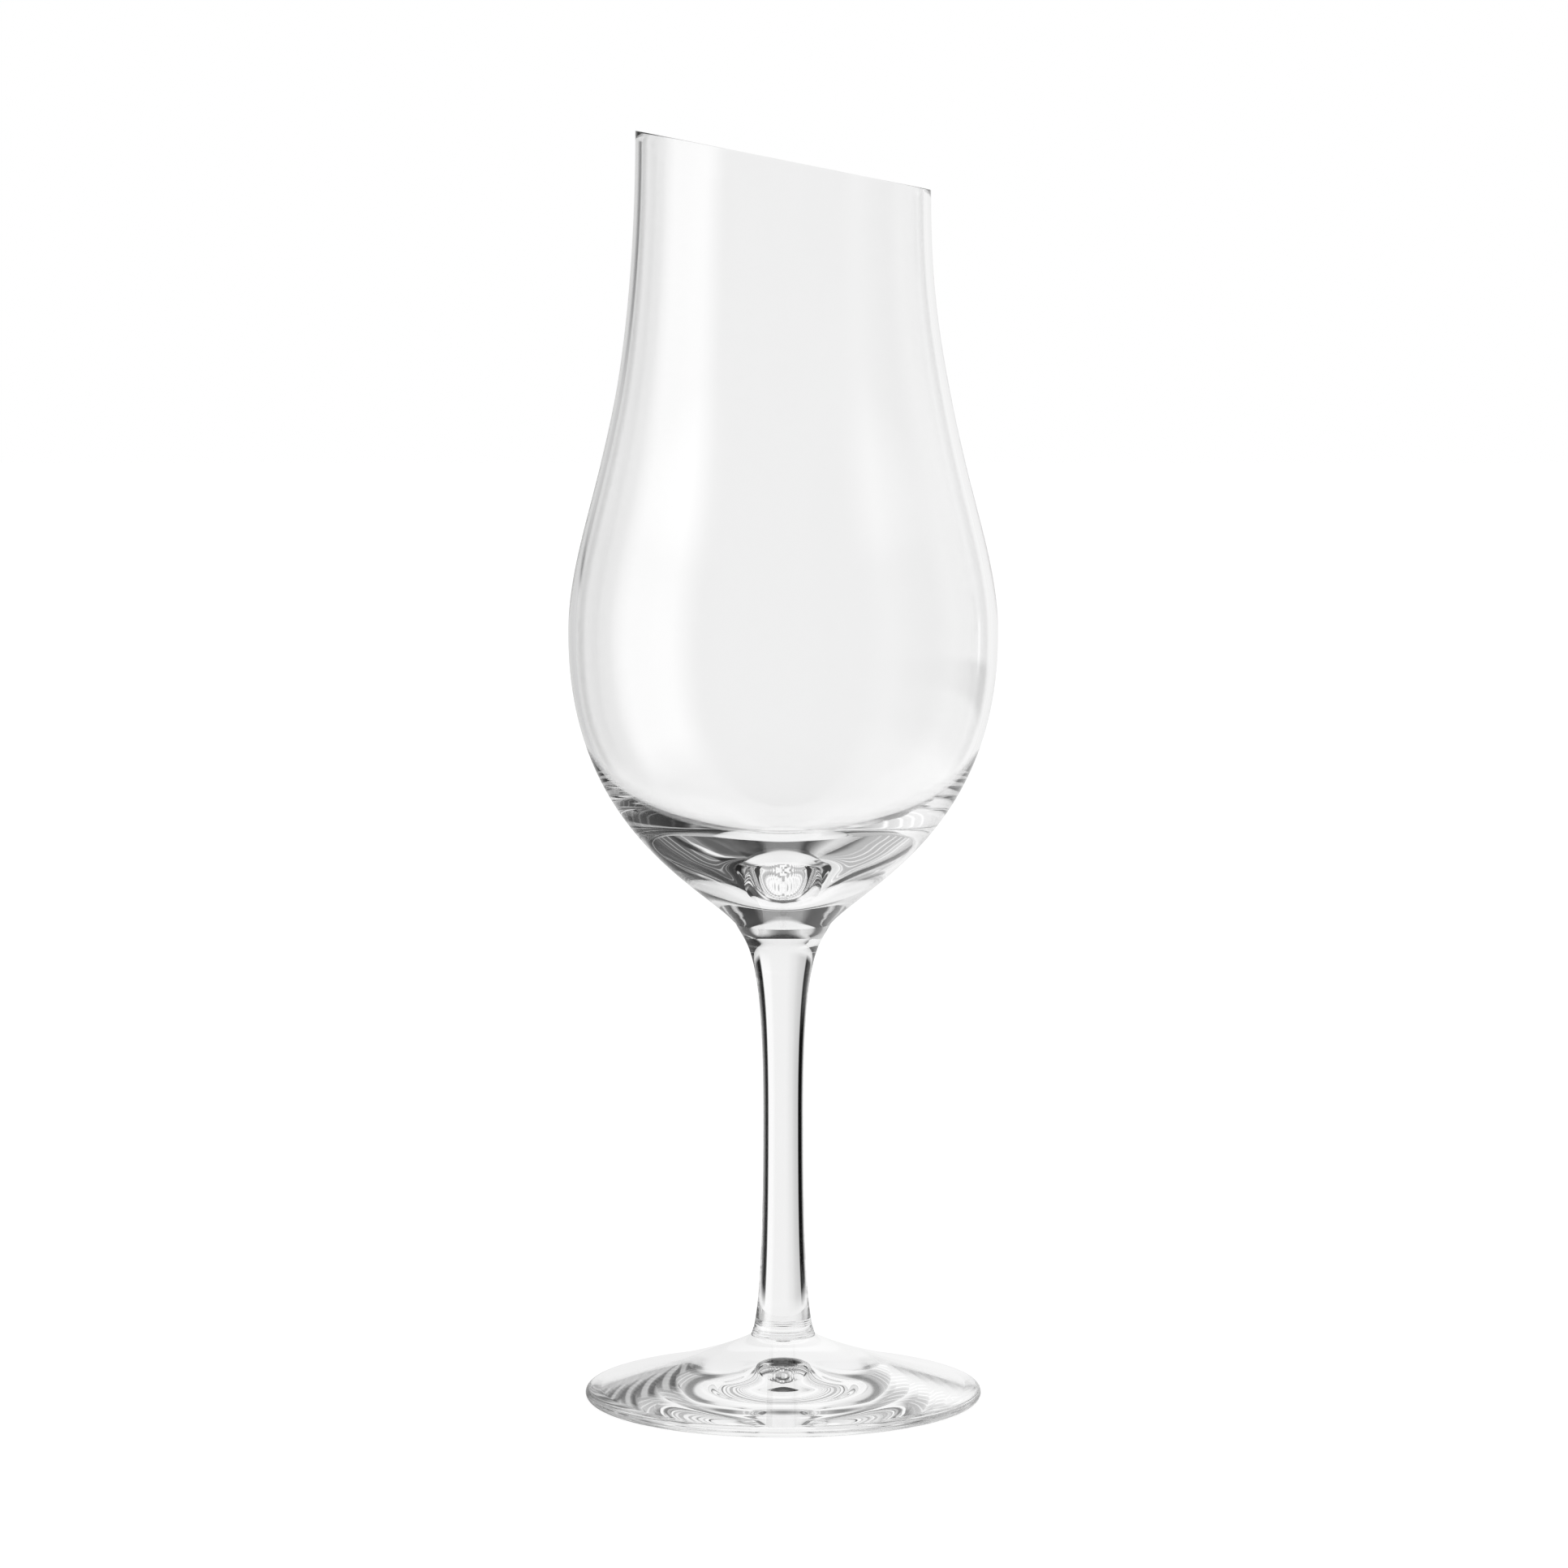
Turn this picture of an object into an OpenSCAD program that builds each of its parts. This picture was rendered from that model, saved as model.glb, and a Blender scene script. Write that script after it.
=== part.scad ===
// Stemmed spirits glass: a blown tulip bowl with a slanted mouth, a drawn solid stem and a pressed foot.
// The three pieces are fused end to end, so each meets the next on a flat round seat.
// The origin is on the axis, on the table under the foot; +X points to the low side of the mouth.

/* [Foot] */
// Diameter of the foot
foot_d = 66; // [60:0.5:72]
// Height of the foot's crown, where the stem stands on it
foot_h = 10.4; // [9:0.1:12]
// Radius of the rounded edge
foot_edge_r = 0.86; // [0.6:0.02:1.1]
// Width of the flat ring that rests on the table
foot_ring_w = 2; // [1:0.1:4]
// Rise of the shallow hollow inside that ring, at its middle
foot_hollow_h = 1.5; // [0.5:0.1:2.5]
// Radius of the rounded kick at the hollow's middle
foot_kick_r = 14.7; // [10:0.1:20]
// How much higher the kick rises
foot_kick_h = 1.8; // [0.5:0.1:3]
// How far in the edge's slope is held before the top curves up
foot_lip_run = 12.1; // [9:0.1:14]
// Rise over that run
foot_lip_rise = 2.8; // [2:0.1:3.4]
// How far out the steeper slope beside the stem is held
foot_root_run = 3.9; // [3:0.1:5]
// Fall over that run
foot_root_fall = 2.3; // [1.8:0.1:2.8]

/* [Stem] */
// Length of the stem between its two seats
stem_l = 69.1; // [60:0.1:80]
// Diameter at the foot's crown
stem_root_d = 10.7; // [9.5:0.1:12]
// Diameter at the slimmest place
stem_waist_d = 6.64; // [6:0.02:7.4]
// Height of the slimmest place above the root
stem_waist_z = 37.7; // [32:0.1:42]
// How far the root leans in before it straightens
stem_root_in = 1.8; // [1.2:0.1:2.2]
// Height over which the root leans in
stem_root_rise = 3.9; // [3:0.1:5]
// Length held slim below the slimmest place
stem_slim_below = 14.2; // [10:0.1:18]
// Length held slim above the slimmest place
stem_slim_above = 27.5; // [22:0.1:30]
// How far the head leans out to the bowl
stem_head_out = 1.7; // [1.2:0.1:2.2]
// Height over which the head leans out
stem_head_rise = 3.5; // [2.5:0.1:4.5]
// Number of fine rings left where the stem was drawn off the foot
ring_count = 3; // [1:1:4]
// Spacing of those rings
ring_pitch = 0.42; // [0.35:0.01:0.5]
// How far each ring stands out
ring_relief = 0.05; // [0.03:0.01:0.1]

/* [Bowl] */
// Height of the bowl, from its seat on the stem to the tall side of the mouth
bowl_h = 130.5; // [120:0.5:140]
// Diameter of the seat on the stem
bowl_seat_d = 15.7; // [14:0.1:17]
// Diameter at the widest place
belly_d = 70.8; // [66:0.1:76]
// Height of the widest place above the seat
belly_z = 48.1; // [44:0.1:52]
// Diameter at the mouth
mouth_d = 48.3; // [44:0.1:54]
// How much lower the short side of the mouth is than the tall side
mouth_slant = 9.6; // [4:0.2:14]
// How far the bowl leans out from its seat
bowl_root_out = 5.4; // [4.5:0.1:6.2]
// Height over which it leans out
bowl_root_rise = 6.4; // [5.5:0.1:7.5]
// Height held upright below the widest place
belly_fall = 32.5; // [30:0.1:34]
// Height held upright above the widest place
belly_rise = 18.6; // [15:0.1:22]
// Height held upright below the mouth
mouth_fall = 44.9; // [40:0.1:50]

/* [Wall] */
// Thickness at the mouth
mouth_wall = 1; // [0.8:0.05:1.3]
// Thickness at the widest place
belly_wall = 1.25; // [1.1:0.05:1.5]
// Height held upright below the widest place, inside
wall_fall = 27.1; // [22:0.1:30]
// Solid glass between the seat and the cavity's rounded tip
floor_h = 7.6; // [6.5:0.1:9.5]
// How far the tip is held level
floor_run = 3.9; // [2.5:0.1:5]
// Radius of the shoulder, where the cavity's shallow floor turns down to the tip
shoulder_r = 14; // [11:0.1:16]
// Height of the shoulder above the seat
shoulder_h = 13; // [12:0.1:15]
// Angle of the cavity's floor at the shoulder
shoulder_slope = 22.3; // [16:0.1:28]
// How far that slope is held out from the shoulder
shoulder_out = 8.8; // [5:0.1:11]
// How far it is held in
shoulder_in = 7.8; // [5:0.1:9]

/* [Hidden] */

glass_tint = [0.86, 0.91, 0.92, 0.55];
round_steps = 96;
long_steps = 22;
short_steps = 12;
edge_steps = 8;
ring_steps = 4;
overrun = 1;

foot_r = foot_d / 2;
foot_flat_r = foot_r - foot_edge_r;
foot_hollow_r = foot_flat_r - foot_ring_w;
stem_root_r = stem_root_d / 2;
stem_waist_r = stem_waist_d / 2;
bowl_seat_r = bowl_seat_d / 2;
belly_r = belly_d / 2;
mouth_r = mouth_d / 2;
mouth_z = bowl_h - mouth_slant / 2;
blank_h = bowl_h + overrun;
seat_z = foot_h + stem_l;
edge_angle = 90 - atan(foot_lip_rise / foot_lip_run);
shoulder = [shoulder_r, shoulder_h];
shoulder_lean = [cos(shoulder_slope), sin(shoulder_slope)];
ring_zone = ring_count * ring_pitch;

// Points from a to b on a cubic curve that leaves a towards a + leave and reaches b from b + arrive
function cubic(a, leave, arrive, b, steps) =
    [for (i = [0 : steps])
        let (t = i / steps, s = 1 - t)
        pow(s, 3) * a + 3 * s * s * t * (a + leave) + 3 * s * t * t * (b + arrive) + pow(t, 3) * b];

// All points but the first, which the curve before has already given
function after_first(points) = [for (i = [1 : len(points) - 1]) points[i]];

// The foot's rounded edge, from its lowest point to where the top slope starts
foot_edge = [for (i = [0 : edge_steps])
    let (a = -90 + i * (edge_angle + 90) / edge_steps)
    [foot_flat_r + foot_edge_r * cos(a), foot_edge_r + foot_edge_r * sin(a)]];

// The top of the foot, from the rounded edge to the crown
foot_top = cubic(foot_edge[edge_steps], [-foot_lip_run, foot_lip_rise],
    [foot_root_run, -foot_root_fall], [stem_root_r, foot_h], long_steps);

// The underside of the foot, from its middle to the resting ring: a shallow hollow with a rounded kick
function kick(r) = foot_kick_h * (1 + cos(180 * min(r / foot_kick_r, 1))) / 2;
foot_under = [for (i = [0 : long_steps])
    let (share = i / long_steps, r = foot_hollow_r * share)
    [r, foot_hollow_h * (1 - share * share) + kick(r)]];

module foot() {
    color(glass_tint)
        rotate_extrude($fn = round_steps)
            polygon(concat(foot_under, foot_edge, after_first(foot_top), [[0, foot_h]]));
}

// The flare at the stem's root, and the swell of its fine rings at a height above the root
stem_root = cubic([stem_root_r, 0], [-stem_root_in, stem_root_rise],
    [0, -stem_slim_below], [stem_waist_r, stem_waist_z], long_steps);
function ring_swell(z) = z < ring_zone ? ring_relief * pow(sin(180 * z / ring_pitch), 2) : 0;

// The root's own points above the rings, and closer points along the rings themselves
stem_above_rings = [for (p = stem_root) if (p[1] > ring_zone) p];
stem_rings = [for (i = [0 : ring_count * ring_steps])
    let (z = i * ring_pitch / ring_steps)
    [lookup(z, [for (p = stem_root) [p[1], p[0]]]) + ring_swell(z), z]];

// The stem's head, flaring out to the bowl
stem_head = cubic([stem_waist_r, stem_waist_z], [0, stem_slim_above],
    [-stem_head_out, -stem_head_rise], [bowl_seat_r, stem_l], long_steps);

module stem() {
    color(glass_tint)
        translate([0, 0, foot_h])
            rotate_extrude($fn = round_steps)
                polygon(concat([[0, 0]], stem_rings, stem_above_rings, after_first(stem_head), [[0, stem_l]]));
}

// The bowl's outside, from its seat to a blank a little taller than the mouth
bowl_outside = concat(
    cubic([bowl_seat_r, 0], [bowl_root_out, bowl_root_rise], [0, -belly_fall], [belly_r, belly_z], long_steps),
    after_first(cubic([belly_r, belly_z], [0, belly_rise], [0, -mouth_fall], [mouth_r, mouth_z], long_steps)),
    [[mouth_r, blank_h]]);

// The cavity, from the blank's top down by the shoulder to its tip on the axis
bowl_inside = concat(
    [[mouth_r - mouth_wall, blank_h]],
    cubic([mouth_r - mouth_wall, mouth_z], [0, -mouth_fall], [0, belly_rise],
        [belly_r - belly_wall, belly_z], long_steps),
    after_first(cubic([belly_r - belly_wall, belly_z], [0, -wall_fall], shoulder_out * shoulder_lean,
        shoulder, long_steps)),
    after_first(cubic(shoulder, -shoulder_in * shoulder_lean, [floor_run, 0], [0, floor_h], short_steps)));

// Everything above the slanted plane of the mouth
module above_mouth() {
    translate([-mouth_r, 0, bowl_h])
        rotate([0, atan(mouth_slant / mouth_d), 0])
            translate([-mouth_d, -mouth_d, 0])
                cube([3 * mouth_d, 2 * mouth_d, mouth_d]);
}

module bowl() {
    color(glass_tint)
        translate([0, 0, seat_z])
            difference() {
                rotate_extrude($fn = round_steps)
                    polygon(concat([[0, 0]], bowl_outside, bowl_inside));
                above_mouth();
            }
}

bowl();
stem();
foot();
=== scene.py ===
import math

import bmesh
import bpy
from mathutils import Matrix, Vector


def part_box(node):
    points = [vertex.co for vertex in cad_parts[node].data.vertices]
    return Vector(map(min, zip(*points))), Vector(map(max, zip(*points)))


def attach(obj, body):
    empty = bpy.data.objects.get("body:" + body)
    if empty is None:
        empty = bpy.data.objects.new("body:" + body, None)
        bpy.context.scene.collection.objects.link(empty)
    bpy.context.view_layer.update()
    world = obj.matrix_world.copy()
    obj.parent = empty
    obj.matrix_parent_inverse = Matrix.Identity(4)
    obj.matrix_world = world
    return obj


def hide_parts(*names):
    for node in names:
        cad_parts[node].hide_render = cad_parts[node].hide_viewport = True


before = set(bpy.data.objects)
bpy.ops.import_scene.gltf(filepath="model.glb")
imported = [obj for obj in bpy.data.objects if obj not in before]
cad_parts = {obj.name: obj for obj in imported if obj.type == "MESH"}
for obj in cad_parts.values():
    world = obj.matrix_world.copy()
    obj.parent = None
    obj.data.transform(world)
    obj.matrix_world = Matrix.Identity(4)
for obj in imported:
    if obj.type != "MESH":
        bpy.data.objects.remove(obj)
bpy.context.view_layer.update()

scene = bpy.context.scene

# Camera. It stands almost a metre from the glass, level with the middle of the mouth, and looks down
# a little, so the slanted mouth is seen edge-on and the foot from above.
CAMERA_DISTANCE = 0.9518
CAMERA_HEIGHT = 0.2051
CAMERA_ASIDE = 0.00013
CAMERA_PITCH = math.radians(6.138)
LENS_MM = 133.06
SENSOR_MM = 36.0
camera_data = bpy.data.cameras.new("camera")
camera_data.lens = LENS_MM
camera_data.sensor_width = SENSOR_MM
camera_data.clip_start = 0.05
camera_data.clip_end = 20.0
camera = bpy.data.objects.new("camera", camera_data)
camera.location = (CAMERA_ASIDE, -CAMERA_DISTANCE, CAMERA_HEIGHT)
camera.rotation_euler = (math.pi / 2 - CAMERA_PITCH, 0, 0)
scene.collection.objects.link(camera)
scene.camera = camera

# Bowl. Blown from clear glass: about 1 mm thick at the mouth, a little more at the widest place, and
# solid at the bottom, where the stem is stuck on. The mouth is cut at a slant and its lip melted round.
bowl_low, bowl_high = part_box("bowl")
BOWL_SEAT_R = 0.00785
BELLY_R = bowl_high.x
BELLY_Z = bowl_low.z + 0.0481
MOUTH_R = 0.02415
MOUTH_SLANT = 0.0096
MOUTH_Z = bowl_high.z - MOUTH_SLANT / 2
BOWL_ROOT_LEAN = (0.0054, 0.0064)
BELLY_FALL = 0.0325
BELLY_RISE = 0.0186
MOUTH_FALL = 0.0449
MOUTH_WALL = 0.001
BELLY_WALL = 0.00125
WALL_FALL = 0.0271
FLOOR_H = 0.0076
FLOOR_RUN = 0.0039
SHOULDER_R = 0.014
SHOULDER_H = 0.013
SHOULDER_SLOPE = math.radians(22.3)
SHOULDER_OUT = 0.0088
SHOULDER_IN = 0.0078
LIP_R = 0.00012
LIP_STEPS = 6
SLANT_ZONE = 0.04
TURNS = 192
CURVE_STEPS = 96
BOWL_WAVE = (0.02, 0.000002)
RIPPLE = (0.006, 0.00002)
RIPPLE_TOP = 0.112
RIPPLE_FADE = 0.01
RIPPLE_STRETCH = 2
MERGE_DISTANCE = 1e-7
SEAT_TOLERANCE = 1e-6


def cubic(a, leave, arrive, b, steps):
    """Points from a to b on a cubic curve that leaves a towards leave and reaches b from arrive."""
    a, b = Vector(a), Vector(b)
    p, q = a + Vector(leave), b + Vector(arrive)
    shares = [i / steps for i in range(steps + 1)]
    return [(1 - t) ** 3 * a + 3 * (1 - t) ** 2 * t * p + 3 * (1 - t) * t * t * q + t ** 3 * b
            for t in shares]


def arc(centre, radius, start, end, steps):
    """Points on an arc, with its angles in degrees from +X."""
    angles = [math.radians(start + (end - start) * i / steps) for i in range(steps + 1)]
    return [Vector(centre) + radius * Vector((math.cos(a), math.sin(a))) for a in angles]


def turned(name, outline, seats):
    """A closed glass piece, its outline spun round the axis; faces on a seat take the second material."""
    bm = bmesh.new()
    verts = [bm.verts.new((p.x, 0, p.y)) for p in outline]
    edges = [bm.edges.new(pair) for pair in zip(verts, verts[1:])]
    bmesh.ops.spin(bm, geom=verts + edges, cent=(0, 0, 0), axis=(0, 0, 1), angle=math.tau,
                   steps=TURNS, use_merge=True)
    bmesh.ops.remove_doubles(bm, verts=bm.verts, dist=MERGE_DISTANCE)
    bmesh.ops.recalc_face_normals(bm, faces=bm.faces)
    bm.faces.ensure_lookup_table()
    on_axis = [v for v in bm.verts if v.co.xy.length < MERGE_DISTANCE]
    for pole in [v for v in on_axis if min(abs(v.co.z - z) for z in seats) < SEAT_TOLERANCE]:
        for face in pole.link_faces:
            face.material_index = 1
            for edge in face.edges:
                edge.smooth = pole in edge.verts
    mesh = bpy.data.meshes.new(name)
    bm.to_mesh(mesh)
    bm.free()
    mesh.shade_smooth()
    piece = bpy.data.objects.new(name, mesh)
    scene.collection.objects.link(piece)
    return piece


def clear_glass(name, wave, clearness=1.0, gloss=0.5, ripple=None):
    """Clear glass whose surface has the faint waves that hot working leaves in it.

    A wave or ripple is its size and its height. The ripple is finer, is stretched round the glass and
    fades out towards RIPPLE_TOP.
    """
    material = bpy.data.materials.new(name)
    material.use_nodes = True
    nodes, links = material.node_tree.nodes, material.node_tree.links
    shader = nodes["Principled BSDF"]
    # Below 1 the base colour greys the glass. On the stem this grey is painted shade.
    shader.inputs["Base Color"].default_value = (clearness,) * 3 + (1,)
    shader.inputs["Specular IOR Level"].default_value = gloss
    shader.inputs["Roughness"].default_value = 0.0
    shader.inputs["IOR"].default_value = 1.5
    shader.inputs["Transmission Weight"].default_value = 1.0
    wave_size, wave_height = wave
    place = nodes.new("ShaderNodeTexCoord")
    waves = nodes.new("ShaderNodeTexNoise")
    waves.inputs["Scale"].default_value = 1 / wave_size
    waves.inputs["Detail"].default_value = 1.0
    wavy = nodes.new("ShaderNodeBump")
    wavy.inputs["Distance"].default_value = wave_height
    links.new(place.outputs["Object"], waves.inputs["Vector"])
    links.new(waves.outputs["Fac"], wavy.inputs["Height"])
    links.new(wavy.outputs["Normal"], shader.inputs["Normal"])
    if ripple:
        ripple_size, ripple_height = ripple
        stretch = nodes.new("ShaderNodeMapping")
        stretch.inputs["Scale"].default_value = (1 / RIPPLE_STRETCH, 1 / RIPPLE_STRETCH, 1)
        ripples = nodes.new("ShaderNodeTexNoise")
        ripples.inputs["Scale"].default_value = 1 / ripple_size
        ripples.inputs["Detail"].default_value = 1.0
        height = nodes.new("ShaderNodeSeparateXYZ")
        fade = nodes.new("ShaderNodeMapRange")
        fade.inputs["From Min"].default_value = RIPPLE_TOP
        fade.inputs["From Max"].default_value = RIPPLE_TOP - RIPPLE_FADE
        faded = nodes.new("ShaderNodeMath")
        faded.operation = "MULTIPLY"
        rippled = nodes.new("ShaderNodeBump")
        rippled.inputs["Distance"].default_value = ripple_height
        links.new(place.outputs["Object"], stretch.inputs["Vector"])
        links.new(stretch.outputs["Vector"], ripples.inputs["Vector"])
        links.new(place.outputs["Object"], height.inputs["Vector"])
        links.new(height.outputs["Z"], fade.inputs["Value"])
        links.new(fade.outputs["Result"], faded.inputs[0])
        links.new(ripples.outputs["Fac"], faded.inputs[1])
        links.new(faded.outputs[0], rippled.inputs["Height"])
        links.new(wavy.outputs["Normal"], rippled.inputs["Normal"])
        links.new(rippled.outputs["Normal"], shader.inputs["Normal"])
    return material


# Fused glass has no surface inside it, so the seats let light straight through
fused_seat = bpy.data.materials.new("fused_seat")
fused_seat.use_nodes = True
fused_nodes = fused_seat.node_tree.nodes
fused_nodes.remove(fused_nodes["Principled BSDF"])
fused_seat.node_tree.links.new(fused_nodes.new("ShaderNodeBsdfTransparent").outputs[0],
                               fused_nodes["Material Output"].inputs["Surface"])

bowl_outline = [Vector((0, bowl_low.z))]
bowl_outline += cubic((BOWL_SEAT_R, bowl_low.z), BOWL_ROOT_LEAN, (0, -BELLY_FALL),
                      (BELLY_R, BELLY_Z), CURVE_STEPS)
bowl_outline += cubic((BELLY_R, BELLY_Z), (0, BELLY_RISE), (0, -MOUTH_FALL),
                      (MOUTH_R, MOUTH_Z - LIP_R), CURVE_STEPS)[1:]
bowl_outline += arc((MOUTH_R - LIP_R, MOUTH_Z - LIP_R), LIP_R, 0, 90, LIP_STEPS)[1:]
bowl_outline += arc((MOUTH_R - MOUTH_WALL + LIP_R, MOUTH_Z - LIP_R), LIP_R, 90, 180, LIP_STEPS)
bowl_outline += cubic((MOUTH_R - MOUTH_WALL, MOUTH_Z - LIP_R), (0, -MOUTH_FALL), (0, BELLY_RISE),
                      (BELLY_R - BELLY_WALL, BELLY_Z), CURVE_STEPS)[1:]
shoulder = (SHOULDER_R, bowl_low.z + SHOULDER_H)
shoulder_lean = Vector((math.cos(SHOULDER_SLOPE), math.sin(SHOULDER_SLOPE)))
bowl_outline += cubic((BELLY_R - BELLY_WALL, BELLY_Z), (0, -WALL_FALL), shoulder_lean * SHOULDER_OUT,
                      shoulder, CURVE_STEPS)[1:]
bowl_outline += cubic(shoulder, -shoulder_lean * SHOULDER_IN, (FLOOR_RUN, 0),
                      (0, bowl_low.z + FLOOR_H), CURVE_STEPS // 2)[1:]
bowl = turned("glass_bowl", bowl_outline, [bowl_low.z])

# The slant of the mouth, eased in over the top of the chimney
for v in bowl.data.vertices:
    share = min(max((v.co.z - MOUTH_Z + SLANT_ZONE) / SLANT_ZONE, 0), 1)
    v.co.z -= share * share * (3 - 2 * share) * v.co.x * MOUTH_SLANT / (2 * MOUTH_R)
bowl.data.materials.append(clear_glass("bowl_glass", BOWL_WAVE, ripple=RIPPLE))
bowl.data.materials.append(fused_seat)
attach(bowl, "root")
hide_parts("bowl")

# Stem. A solid rod of the same glass, drawn slim in the middle while hot. Its head flares out to the
# bowl, and its root has the fine rings that were left where it was stuck to the foot.
stem_low, stem_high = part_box("stem")
STEM_ROOT_R = 0.00535
STEM_WAIST_R = 0.00332
STEM_WAIST_Z = stem_low.z + 0.0377
STEM_ROOT_LEAN = (-0.0018, 0.0039)
STEM_SLIM_BELOW = 0.0142
STEM_SLIM_ABOVE = 0.0275
STEM_HEAD_LEAN = (-0.0017, -0.0035)
RING_COUNT = 3
RING_PITCH = 0.00042
RING_RELIEF = 0.00005
RING_DETAIL = 4
STEM_WAVE = (0.012, 0.000001)
# The stem's glass is greyed to 0.95 as painted shade. It stands in for the darkening that its weakened
# surface reflection, STEM_GLOSS, no longer gives.
STEM_PAINTED_SHADE_LEVEL = 0.95
STEM_GLOSS = 0.15

root_curve = cubic((STEM_ROOT_R, stem_low.z), STEM_ROOT_LEAN, (0, -STEM_SLIM_BELOW),
                   (STEM_WAIST_R, STEM_WAIST_Z), CURVE_STEPS * RING_DETAIL)
ring_top = stem_low.z + RING_COUNT * RING_PITCH
ringed = [p for p in root_curve if p.y <= ring_top]
plain = [p for p in root_curve if p.y > ring_top]
stem_outline = [Vector((0, stem_low.z))]
stem_outline += [Vector((p.x + RING_RELIEF * math.sin(math.pi * (p.y - stem_low.z) / RING_PITCH) ** 2, p.y))
                 for p in ringed]
stem_outline += plain[::RING_DETAIL] + [root_curve[-1]]
stem_outline += cubic((STEM_WAIST_R, STEM_WAIST_Z), (0, STEM_SLIM_ABOVE), STEM_HEAD_LEAN,
                      (BOWL_SEAT_R, stem_high.z), CURVE_STEPS)[1:]
stem_outline += [Vector((0, stem_high.z))]
stem = turned("glass_stem", stem_outline, [stem_low.z, stem_high.z])
# The stem's glass carries painted shade: grey base colour in place of the darkening from a full reflection.
stem.data.materials.append(clear_glass("stem_glass", STEM_WAVE, STEM_PAINTED_SHADE_LEVEL, STEM_GLOSS))
stem.data.materials.append(fused_seat)
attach(stem, "root")
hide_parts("stem")

# Foot. A disc of the same glass, pressed while hot, with a coned top, a rounded edge, a narrow flat ring
# that rests on the table and a shallow hollow inside that ring. Faint waves are left in its surface.
foot_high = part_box("foot")[1]
FOOT_R = foot_high.x
FOOT_EDGE_R = 0.00086
FOOT_EDGE_STEPS = 12
FOOT_RING_W = 0.002
FOOT_HOLLOW_H = 0.0015
FOOT_KICK_R = 0.0147
FOOT_KICK_H = 0.0018
FOOT_LIP_SLOPE = (-0.0121, 0.0028)
FOOT_ROOT_SLOPE = (0.0039, -0.0023)
FOOT_WAVE = (0.008, 0.00001)
foot_flat_r = FOOT_R - FOOT_EDGE_R
foot_hollow_r = foot_flat_r - FOOT_RING_W
edge_end = 90 - math.degrees(math.atan2(FOOT_LIP_SLOPE[1], -FOOT_LIP_SLOPE[0]))
foot_outline = []
for i in range(CURVE_STEPS + 1):
    r = foot_hollow_r * i / CURVE_STEPS
    kick = (1 + math.cos(math.pi * min(r / FOOT_KICK_R, 1))) / 2
    foot_outline.append(Vector((r, FOOT_HOLLOW_H * (1 - (r / foot_hollow_r) ** 2) + FOOT_KICK_H * kick)))
foot_edge = arc((foot_flat_r, FOOT_EDGE_R), FOOT_EDGE_R, -90, edge_end, FOOT_EDGE_STEPS)
foot_outline += foot_edge
foot_outline += cubic(foot_edge[-1], FOOT_LIP_SLOPE, FOOT_ROOT_SLOPE,
                      (STEM_ROOT_R, foot_high.z), CURVE_STEPS)[1:]
foot_outline += [Vector((0, foot_high.z))]
foot = turned("glass_foot", foot_outline, [foot_high.z])
foot.data.materials.append(clear_glass("foot_glass", FOOT_WAVE))
foot.data.materials.append(fused_seat)
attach(foot, "root")
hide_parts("foot")

# Floor. A plain white table top, bright enough to merge with the white behind it, on which the glass
# still leaves its faint shadow.
FLOOR_SIZE = 3.0
FLOOR_GLOW = 0.88
FLOOR_GREY = 0.2
bm = bmesh.new()
bmesh.ops.create_grid(bm, x_segments=1, y_segments=1, size=FLOOR_SIZE)
floor_mesh = bpy.data.meshes.new("floor")
bm.to_mesh(floor_mesh)
bm.free()
floor = bpy.data.objects.new("floor", floor_mesh)
scene.collection.objects.link(floor)
floor_paint = bpy.data.materials.new("floor_paint")
floor_paint.use_nodes = True
nodes, links = floor_paint.node_tree.nodes, floor_paint.node_tree.links
nodes.remove(nodes["Principled BSDF"])
glow = nodes.new("ShaderNodeEmission")
glow.inputs["Strength"].default_value = FLOOR_GLOW
matt = nodes.new("ShaderNodeBsdfDiffuse")
matt.inputs["Color"].default_value = (FLOOR_GREY,) * 3 + (1,)
both = nodes.new("ShaderNodeAddShader")
links.new(glow.outputs[0], both.inputs[0])
links.new(matt.outputs[0], both.inputs[1])
links.new(both.outputs[0], nodes["Material Output"].inputs["Surface"])
floor.data.materials.append(floor_paint)
floor.visible_glossy = False
floor.visible_transmission = False

# Studio. White behind the glass, dark cards at each side, a dim room in front and a strip of soft light
# at the left. Light that was mirrored on the glass or inside it meets levels of its own, and what is
# seen straight, or through the thin bowl, is white all round.
STRIP_GAIN = 1.9
SPOT_LEVEL = 0.02
DEEP_FROM = 4.5
SIDE_SLAT_PITCH = 3
DEEP_SLAT_PITCH = 6
SLAT_SHARPNESS = 3.0
BOUNCES = 32
world = bpy.data.worlds.new("studio")
scene.world = world
world.use_nodes = True
nodes, links = world.node_tree.nodes, world.node_tree.links
background = nodes["Background"]


def math_node(operation, a, b=None):
    node = nodes.new("ShaderNodeMath")
    node.operation = operation
    for socket, value in zip(node.inputs, (a, b)):
        if isinstance(value, (int, float)):
            socket.default_value = value
        elif value is not None:
            links.new(value, socket)
    return node.outputs[0]


def plus(a, b):
    return math_node("ADD", a, b)


def times(a, b):
    return math_node("MULTIPLY", a, b)


def without(level):
    """What is left of full light without a level."""
    return math_node("SUBTRACT", 1.0, level)


def mix(factor, a, b):
    """Level a where the factor is 0 and b where it is 1."""
    return plus(times(without(factor), a), times(factor, b))


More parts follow.
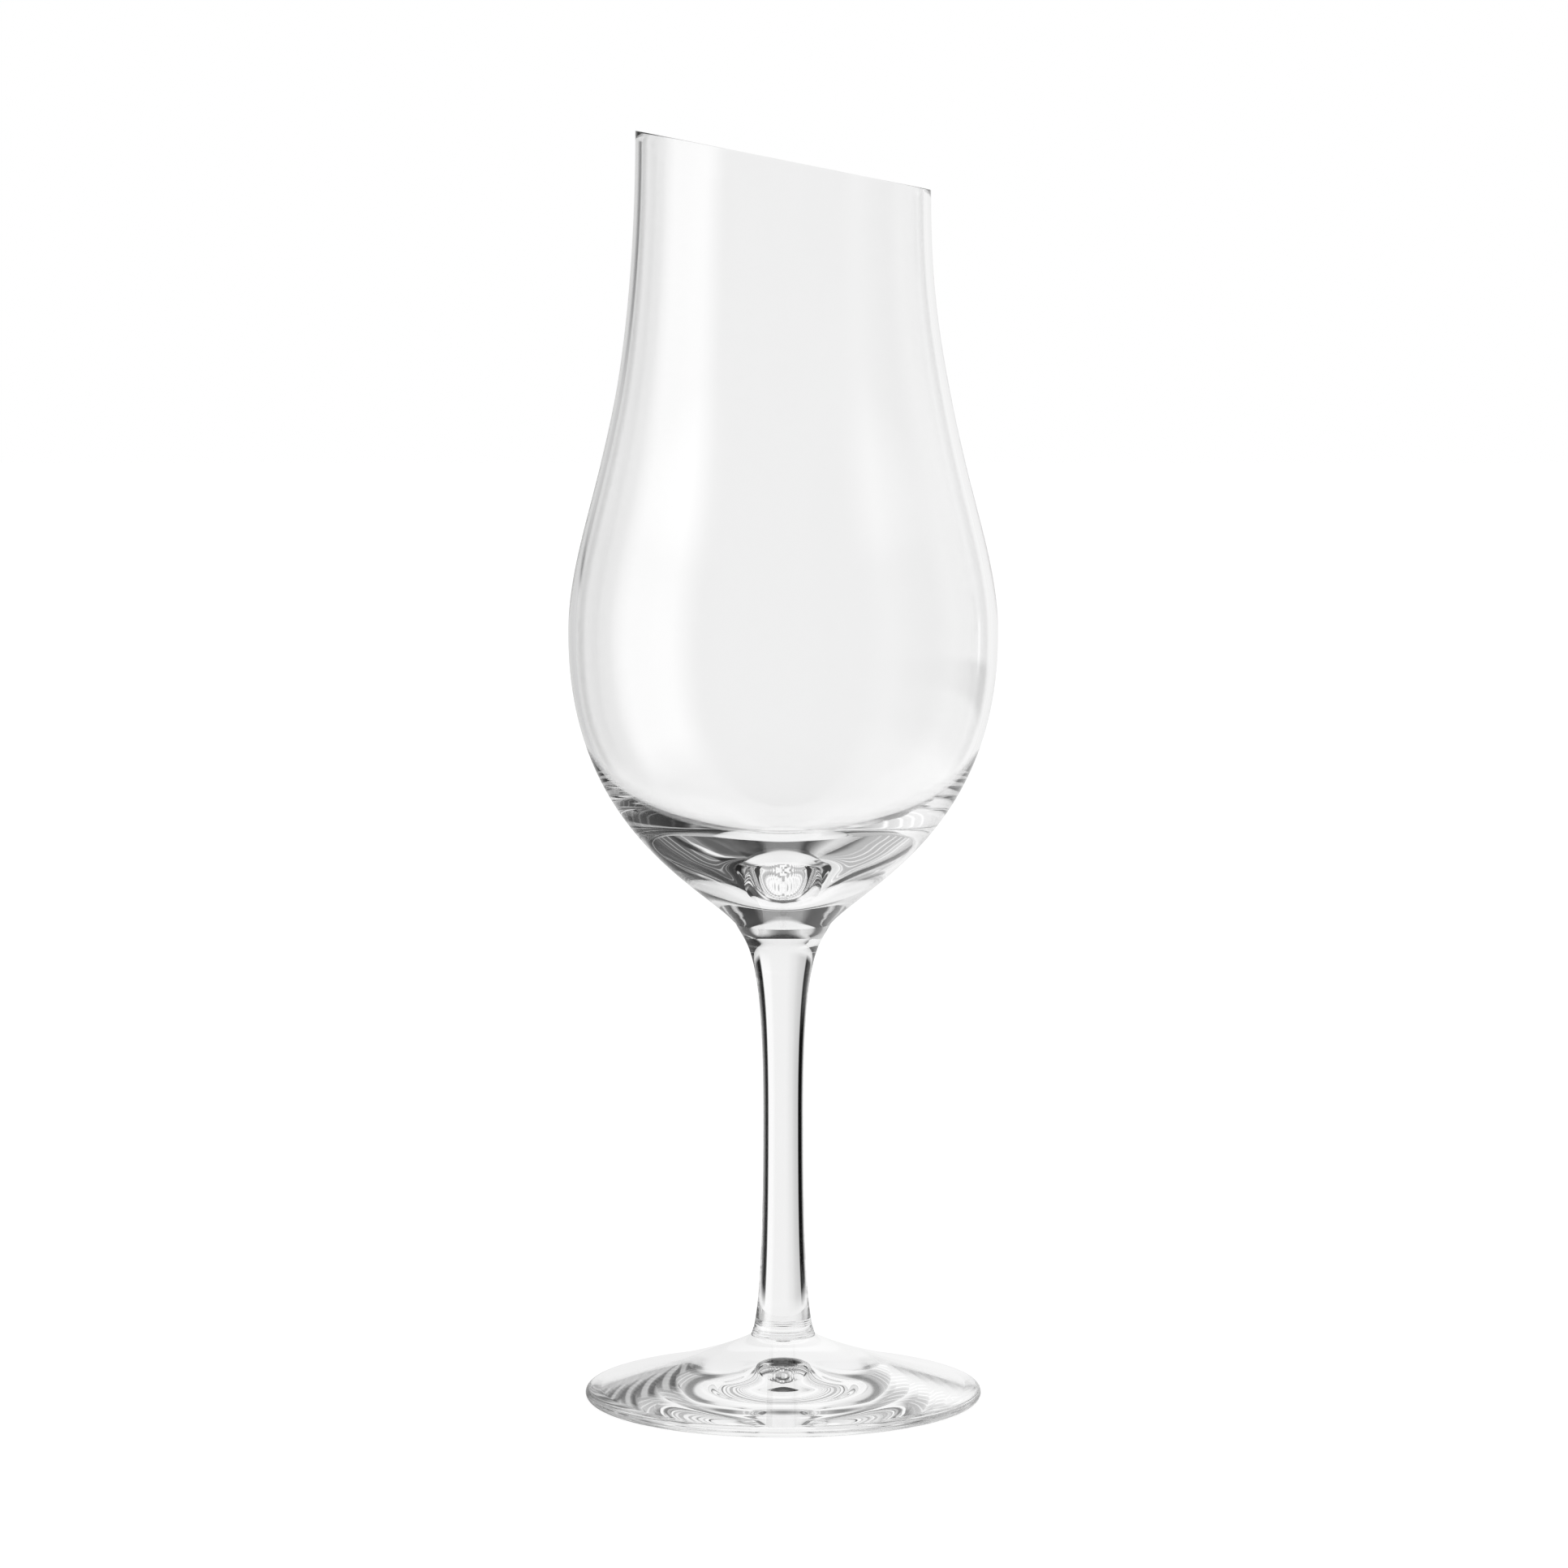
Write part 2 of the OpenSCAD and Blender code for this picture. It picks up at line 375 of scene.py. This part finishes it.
def levels(share, start, end, stops):
    """Grey levels along a share of the range start to end: stops are (value, level)."""
    ramp = nodes.new("ShaderNodeValToRGB")
    ramp.color_ramp.interpolation = "LINEAR"
    elements = ramp.color_ramp.elements
    while len(elements) > 1:
        elements.remove(elements[-1])
    elements[0].position = (stops[0][0] - start) / (end - start)
    elements[0].color = (stops[0][1],) * 3 + (1,)
    for value, level in stops[1:]:
        elements.new((value - start) / (end - start)).color = (level,) * 3 + (1,)
    links.new(share, ramp.inputs["Fac"])
    grey = nodes.new("ShaderNodeSeparateColor")
    links.new(ramp.outputs["Color"], grey.inputs["Color"])
    return grey.outputs["Red"]


direction = nodes.new("ShaderNodeSeparateXYZ")
links.new(nodes.new("ShaderNodeTexCoord").outputs["Generated"], direction.inputs[0])
azimuth = math_node("ARCTAN2", direction.outputs["X"], direction.outputs["Y"])
azimuth_share = plus(math_node("DIVIDE", azimuth, math.tau), 0.5)
height_share = plus(math_node("DIVIDE", math_node("ARCSINE", direction.outputs["Z"]), math.pi), 0.5)


def around(stops):
    """Levels by azimuth in degrees, counted from behind the glass and positive to the right."""
    return levels(azimuth_share, -180, 180, stops)


def upwards(stops):
    """Levels by height above the horizon in degrees."""
    return levels(height_share, -90, 90, stops)


def patch(around_stops, upwards_stops):
    """Levels by azimuth, kept to a band of heights."""
    return times(around(around_stops), upwards(upwards_stops))


def slats(pitch):
    """Thin bright lines between upright slats, by their pitch in degrees of azimuth."""
    wave = math_node("SINE", times(azimuth, 360 / pitch))
    return math_node("POWER", math_node("MAXIMUM", wave, 0.0), SLAT_SHARPNESS)


# How the light got here: by how many mirror bounces and glass surfaces
path = nodes.new("ShaderNodeLightPath")
has_mirrored = math_node("GREATER_THAN", path.outputs["Glossy Depth"], 0.5)
mirrored_twice = math_node("COMPARE", path.outputs["Glossy Depth"], 2.0)
deep = math_node("GREATER_THAN", path.outputs["Glossy Depth"], DEEP_FROM)
outside = math_node("LESS_THAN", path.outputs["Transmission Depth"], 0.5)
in_solid = times(math_node("GREATER_THAN", path.outputs["Transmission Depth"], 0.5),
                 math_node("LESS_THAN", path.outputs["Transmission Depth"], 2.5))

# Straight through solid glass: white, with a dark card at each side that draws a dark line on the stem
side_cards = patch([(-75, 0), (-64, 0.6), (-54, 1), (-37.5, 1), (-35.5, 0.35), (-24, 0.25), (-17, 0.12),
                    (-5, 0), (35, 0), (38, 1), (48, 1), (52, 0.9), (60, 0.8), (66, 0.5), (75, 0)],
                   [(-21, 0), (-17.5, 1), (14, 1), (20, 0)])
behind = without(side_cards)

# Mirrored inside solid glass a few times: the room's sides, with slats at both
sides = around([(-135, 0.1), (-118, 1), (-85, 0.95), (-70, 0.8), (-62, 0.85), (-58, 0.5), (-44, 0.5),
                (-41, 0.15), (-36, 0.15), (-33, 0.65), (-24, 0.85), (-15, 0.95), (0, 0.9), (28, 0.95),
                (33, 0.8), (37, 0.12), (44, 0.12), (47, 0.3), (50, 0.3), (53, 0.12), (60, 0.1),
                (65, 0.04), (75, 0.03), (98, 0.03), (108, 0.2), (120, 0.6), (135, 0.1)])
side_slats = around([(-66, 0), (-62, 0.45), (-50, 0.45), (-45, 0), (45, 0), (48, 0.35), (60, 0.35),
                     (66, 0)])
slatted_sides = plus(sides, times(slats(SIDE_SLAT_PITCH), side_slats))

# Mirrored there many times: darker at the right, with a pale gap and wider slats
deep_sides = around([(-135, 0.5), (-110, 0.95), (-80, 0.95), (-69, 0.75), (-64, 0.5), (-52, 0.4),
                     (-44, 0.35), (-41, 0.12), (-36, 0.15), (-33, 0.7), (-20, 0.9), (0, 1), (20, 0.95),
                     (32, 0.85), (36, 0.15), (42, 0.15), (45, 0.45), (60, 0.45), (64, 0.3), (70, 0.03),
                     (110, 0.03), (120, 0.5), (135, 0.5)])
pale_gap = patch([(64, 0), (70, 0.45), (112, 0.45), (120, 0)], [(9, 0), (12, 1), (19, 1), (22, 0)])
deep_slats = around([(-96, 0), (-90, 0.25), (-62, 0.4), (-50, 0.4), (-45, 0), (45, 0), (48, 0.4), (60, 0.4),
                     (66, 0.2), (75, 0), (80, 0), (84, 0.1), (115, 0.2), (120, 0)])
slatted_deep_sides = plus(plus(deep_sides, pale_gap), times(slats(DEEP_SLAT_PITCH), deep_slats))

# A pale and a dark spot low at the right, the dark room overhead and in front, and the white table
pale_spot = patch([(45, 0), (45.7, 1), (48, 1), (48.6, 0)], [(-7, 0), (-6, 1), (-2, 1), (-1, 0)])
dark_spot = patch([(48.5, 0), (49.5, 1), (53, 1), (54, 0)], [(-4, 0), (-3, 1), (2, 1), (3, 0)])
overhead = upwards([(46, 1), (52, 0.6), (57, 0.2), (62, 0.03)])
dark_front = patch([(-150, 1), (-135, 0), (135, 0), (150, 1)], [(34, 0), (42, 0.97)])
lit_above = times(overhead, without(dark_front))
table = patch([(-140, 0), (-115, 1), (115, 1), (140, 0)], [(-30, 1), (-20, 0)])
room = mix(deep, slatted_sides, slatted_deep_sides)
spotted_room = mix(dark_spot, mix(pale_spot, room, 1.0), SPOT_LEVEL)
inside_glass = mix(table, times(spotted_room, lit_above), 1.0)

# Two more cards: one draws the dark line down the bowl's left edge, one the arcs over the upper seat
edge_card = patch([(-35, 0), (-29, 0.9), (-26, 0.9), (-19, 0)],
                  [(-1, 0), (0.1, 1), (0.55, 1), (1.2, 0.3), (4, 0)])
upper_card = patch([(-60, 0), (-45, 0.95), (-13, 0.95), (-8, 0.65), (8, 0.65), (13, 0.95), (45, 0.95),
                    (60, 0)], [(18, 0), (21, 1), (38, 1), (42, 0)])
carded = times(without(edge_card), without(times(mirrored_twice, upper_card)))
through_solid = mix(has_mirrored, behind, times(inside_glass, carded))

# Mirrored in the bowl's wall and seen through the cavity
cavity_sides = around([(-100, 0.1), (-84, 0.18), (-66, 0.85), (-40, 0.9), (-15, 1), (28, 1), (36, 0.6),
                       (42, 0.3), (47, 0.06), (60, 0.05), (66, 0.2), (73, 0.2), (78, 0.05), (95, 0.05),
                       (104, 0.16), (114, 0.14), (130, 0.1)])
inside_cavity = mix(table, times(cavity_sides, lit_above), 1.0)

# Mirrored off the outside: the room's levels, held back low at the right, and the strip of soft light
mirrored = around([(-180, 0.03), (-133, 0.1), (-74, 0.18), (-64, 0.18), (-52, 0.27), (-36, 0.36),
                   (-31, 0.3), (-26, 0.12), (-20, 0.25), (-15, 0.45), (0, 0.9), (20, 0.8), (30, 0.8),
                   (40, 1), (52, 1), (62, 0.8), (74, 0.5), (100, 0.25), (133, 0.09), (180, 0.03)])
flag = patch([(30, 0), (45, 1), (110, 1), (130, 0)], [(-14, 0), (-12, 1), (-7.6, 1), (-6.6, 0)])
strip = patch([(-134, 0), (-118, 1), (-88, 1), (-74, 0)],
              [(-42, 0), (-28, 1), (6, 1), (16, 0.88), (40, 0.88), (50, 0)])
off_glass = plus(times(mirrored, without(flag)), times(strip, STRIP_GAIN))

elsewhere = mix(has_mirrored, 1.0, mix(outside, inside_cavity, off_glass))
seen = mix(in_solid, elsewhere, through_solid)
links.new(mix(path.outputs["Is Diffuse Ray"], seen, 1.0), background.inputs["Color"])
background.inputs["Strength"].default_value = 1.0

scene.cycles.max_bounces = BOUNCES
scene.cycles.transmission_bounces = BOUNCES
scene.cycles.glossy_bounces = BOUNCES
scene.cycles.transparent_max_bounces = BOUNCES
scene.view_settings.view_transform = "Standard"
